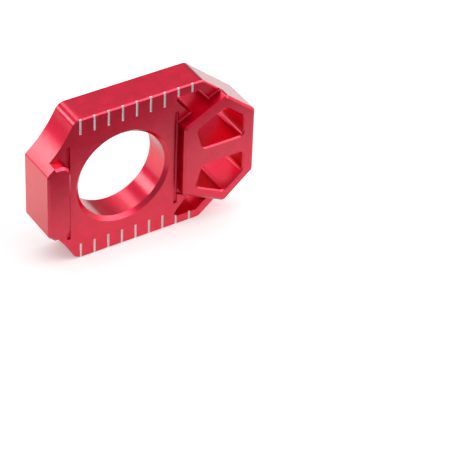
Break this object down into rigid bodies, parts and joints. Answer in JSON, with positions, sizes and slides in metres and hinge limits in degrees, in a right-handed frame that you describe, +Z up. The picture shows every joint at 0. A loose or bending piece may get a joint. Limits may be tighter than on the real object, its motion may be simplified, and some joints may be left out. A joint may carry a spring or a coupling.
{
  "type": "motorcycle chain adjuster axle block",
  "caption": "Flat anodised axle block with a large axle bore, a raised boss and rib that locate it in the swingarm, lightening pockets and an engraved scale.",
  "frame": {"origin": "centre of the axle bore, halfway through the plate", "axes": "+X along the swingarm towards the chamfered boss end, +Y along the axle from the seating face to the outer face, +Z up across the block's width"},
  "size_m": [0.06, 0.0124, 0.043],
  "materials": {
    "anodised_aluminium": "satin red anodised, with bare metal in the engraved scale lines"
  },
  "bodies": {
    "root": {"axle_block": "anodised_aluminium"}
  },
  "joints": []
}
